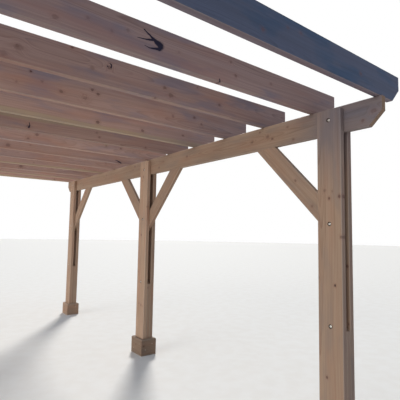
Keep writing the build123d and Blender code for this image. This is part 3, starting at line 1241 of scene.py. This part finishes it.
def finish_piece(name, bm, materials, body="root"):
    """Close up a bmesh, point its faces outwards and make it an object of the part."""
    bmesh.ops.remove_doubles(bm, verts=bm.verts, dist=MERGE_DISTANCE)
    bmesh.ops.recalc_face_normals(bm, faces=bm.faces)
    bm.verts.index_update()
    bm.faces.sort(key=place_in_order)
    mesh = bpy.data.meshes.new(name)
    bm.to_mesh(mesh)
    bm.free()
    for material in materials:
        mesh.materials.append(material)
    for polygon in mesh.polygons:
        polygon.use_smooth = True
    mesh.set_sharp_from_angle(angle=CRISP_ANGLE)
    piece = bpy.data.objects.new(name, mesh)
    bpy.context.scene.collection.objects.link(piece)
    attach(piece, body)
    print(name, "has", len(mesh.polygons), "faces")


def placed_copy(bm, part, placement):
    """Copy a small bmesh into a large one, at this placement."""
    mesh = bpy.data.meshes.new("copy")
    part.to_mesh(mesh)
    mesh.transform(placement)
    bm.from_mesh(mesh)
    bpy.data.meshes.remove(mesh)


# %% [markdown]
# The lowest bolt sits under the top of the core, the next in the foot of the brace and the
# last in the beam, near its middle line. On a middle post two brace feet meet, so the bolt
# that they share sits higher, and the beam's bolt lower. The nut's side always points to
# the covered space. No one sets nuts straight, so each bolt is turned by chance.

# %% Bolt places
RECESS_DEPTH = 14 * MM
BOLT_DROPS = {
    # below the core's top, below the beam and below the beam's middle line
    "front": (38 * MM, 660 * MM, 0.0),
    "middle": (38 * MM, 580 * MM, 35 * MM),
    "back": (38 * MM, 660 * MM, 0.0),
}

bolt = bmesh.new()
bolt_mesh(bolt, post_depth - RECESS_DEPTH)
for row, outward in ROWS.items():
    seat_x = outward * (row_x - post_depth / 2 + RECESS_DEPTH)
    for post in POSTS:
        bolts = bmesh.new()
        for level, drop in zip((core_top, headroom, beam_middle), BOLT_DROPS[post]):
            seat = Matrix.Translation((seat_x, post_y[post], level - drop))
            facing = Matrix.Rotation(-outward * pi / 2, 4, "Y")
            spin = Matrix.Rotation(rng.uniform(0, pi / 3), 4, "Z")
            placed_copy(bolts, bolt, seat @ facing @ spin)
        finish_piece(f"{row}_{post}_post_bolts", bolts, [ZINC, WASHER_SHADE_ZINC])
bolt.free()

# %% [markdown]
# Countersunk screws hold the skirts' boards and the rafters. The head is a small disc with
# a six-lobed recess, sunk flush. It is made from one twelve-sided face: the face is inset,
# every second corner of the inset is drawn in, and the star that is left is pushed down.

# %% Screw heads
SCREW_RADIUS = 4.5 * MM
SCREW_PROUD = 0.3 * MM
SCREW_SINK = 4 * MM
SHANK_SHARE = 0.45
STAR_INSET, STAR_WAIST = 0.42, 0.72
STAR_DEPTH = 1.8 * MM


def screw_mesh(radius):
    """A screw head in its own space: its top lies just above Z = 0."""
    bm = bmesh.new()
    sunk = Matrix.Translation((0, 0, SCREW_PROUD - SCREW_SINK / 2))
    bmesh.ops.create_cone(bm, cap_ends=True, segments=12, radius1=radius * SHANK_SHARE,
                          radius2=radius, depth=SCREW_SINK, matrix=sunk)
    top = max(bm.faces, key=lambda face: face.calc_center_median().z)
    bmesh.ops.inset_individual(bm, faces=[top], thickness=radius * STAR_INSET, depth=0)
    for corner in list(top.verts)[::2]:
        corner.co.x *= STAR_WAIST
        corner.co.y *= STAR_WAIST
    pushed = bmesh.ops.extrude_discrete_faces(bm, faces=[top])["faces"]
    star = list({vert for face in pushed for vert in face.verts})
    bmesh.ops.translate(bm, verts=star, vec=(0, 0, -STAR_DEPTH))
    return bm


screw = screw_mesh(SCREW_RADIUS)
rafter_screw = screw_mesh(1.5 * SCREW_RADIUS)
print("faces of a screw head:", len(screw.faces))

# %% [markdown]
# Each side of a skirt has two screws near its ends, one a little higher than the other, so
# that the screws of two neighbouring sides don't meet in the post. Each rafter has one
# larger screw in its top, over each beam.

# %% Screw places
SKIRT_SCREW_RISE = 35 * MM
SKIRT_SCREW_INSET = 55 * MM

for row in ROWS:
    screws = bmesh.new()
    for post in POSTS:
        middle = centre(f"{row}_{post}_post_skirt")
        half = size(f"{row}_{post}_post_skirt") / 2
        for direction, reach, half_side in ((X, half.x, half.y), (Y, half.y, half.x)):
            sideways = (half_side - SKIRT_SCREW_INSET) * Z.cross(direction)
            for sign in (-1, 1):
                for shift in (-1, 1):
                    spot = middle + sign * reach * direction + shift * sideways
                    spot.z = middle.z + rng.uniform(0.0, 0.01) + SKIRT_SCREW_RISE * shift * sign
                    facing = (sign * direction).to_track_quat("Z", "Y").to_matrix().to_4x4()
                    spin = Matrix.Rotation(rng.uniform(0, pi), 4, "Z")
                    placed_copy(screws, screw, Matrix.Translation(spot) @ facing @ spin)
    finish_piece(f"{row}_skirt_screws", screws, [ZINC])
screw.free()

screws = bmesh.new()
for name in RAFTERS:
    for side in ROWS.values():
        spot = Vector((side * row_x, centre(name).y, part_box(name)[1].z))
        spin = Matrix.Rotation(rng.uniform(0, pi), 4, "Z")
        placed_copy(screws, rafter_screw, Matrix.Translation(spot) @ spin)
finish_piece("rafter_screws", screws, [ZINC])
rafter_screw.free()

# %% [markdown]
# The studio starts with a floor that gives the part something to stand on and returns some
# light to the undersides. It is pale trowelled concrete, nearly even and quite dull. A disc
# much larger than the part puts its edge out of sight.

# %% Floor
FLOOR_RADIUS = 60
TROWEL_MARK = 166.7 * MM

floor_bm = bmesh.new()
bmesh.ops.create_circle(floor_bm, cap_ends=True, segments=64, radius=FLOOR_RADIUS)
floor_mesh = bpy.data.meshes.new("floor")
floor_bm.to_mesh(floor_mesh)
floor_bm.free()
concrete, tree, shader = new_material("pale trowelled concrete")
marks = add(tree, "TexNoise", add(tree, "TexCoord").outputs["Object"], 1 / TROWEL_MARK, 4.0)
tone = add(tree, "MapRange", marks, 0.3, 0.7, **EASED)
colour = add(tree, "Mix", tone, linear("D9D6D0"), linear("DCDAD5"), data_type="RGBA")
fill(tree, shader.inputs["Base Color"], colour)
shader.inputs["Roughness"].default_value = 0.9
floor_mesh.materials.append(concrete)
floor = bpy.data.objects.new("floor", floor_mesh)
bpy.context.scene.collection.objects.link(floor)
print("floor:", 2 * FLOOR_RADIUS, "m wide")

# %% [markdown]
# Two distant lamps light the part. The key comes from behind the far right corner, as on
# the day of the picture, and is soft, so that the rafters' shadows don't cut up the posts.
# The fill is very soft and low, and comes in at the open left side: it lights the inner
# faces of the right-hand row, which the camera sees.


# %% Lamps
def soft_sun(name, compass, height, strength, softness, colour="FFFDFA"):
    """A distant lamp at this compass angle from +Y towards +X, and height, in degrees."""
    turn, rise = radians(compass), radians(height)
    towards = Vector((sin(turn) * cos(rise), cos(turn) * cos(rise), sin(rise)))
    data = bpy.data.lights.new(name, "SUN")
    data.energy = strength
    data.angle = radians(softness)
    data.color = linear(colour)[:3]
    lamp = bpy.data.objects.new(name, data)
    lamp.rotation_euler = towards.to_track_quat("Z", "Y").to_euler()
    bpy.context.scene.collection.objects.link(lamp)
    print(f"{name}: compass {compass}, height {height} degrees")


soft_sun("key", 33, 38, 3.3, 12)
soft_sun("fill from the open left side", -97, 10, 1.95, 45)

# %% [markdown]
# A dim sky fills the shadows. It is brighter towards the open left side and above, and a
# little cooler above and in front, which gives the faces that look there their bluish
# tinge. To the camera and in reflections it is plain white instead, which gives a white
# background that adds nothing to the soft light.

# %% Sky
SKY_LEVEL, LESS_TO_THE_RIGHT, MORE_ABOVE = 0.31, -0.18, 0.14

world = bpy.data.worlds.new("studio")
bpy.context.scene.world = world
world.use_nodes = True
sky = world.node_tree
sky.nodes.clear()
east, north, upward = add(sky, "SeparateXYZ", add(sky, "TexCoord").outputs["Generated"]).outputs
above = add(sky, "MapRange", upward, 0.2, 0.8, **EASED)
in_front = add(sky, "MapRange", north, 0.0, -0.8, **EASED)
coolness = add(sky, "Math", above, in_front, operation="MAXIMUM")
sky_colour = add(sky, "Mix", coolness, linear("FFFDFA"), linear("D2E4FF"), data_type="RGBA")
level = total(sky, SKY_LEVEL, (east, LESS_TO_THE_RIGHT), (above, MORE_ABOVE))
sky_light = add(sky, "Background", sky_colour, level)
white = add(sky, "Background", (1, 1, 1, 1), 1.0)
rays = add(sky, "LightPath").outputs
seen = add(sky, "Math", rays["Is Glossy Ray"], rays["Is Transmission Ray"], operation="MAXIMUM")
seen = add(sky, "Math", rays["Is Camera Ray"], seen, operation="MAXIMUM")
add(sky, "OutputWorld", add(sky, "MixShader", seen, sky_light, white))
print("sky:", len(sky.nodes), "nodes")
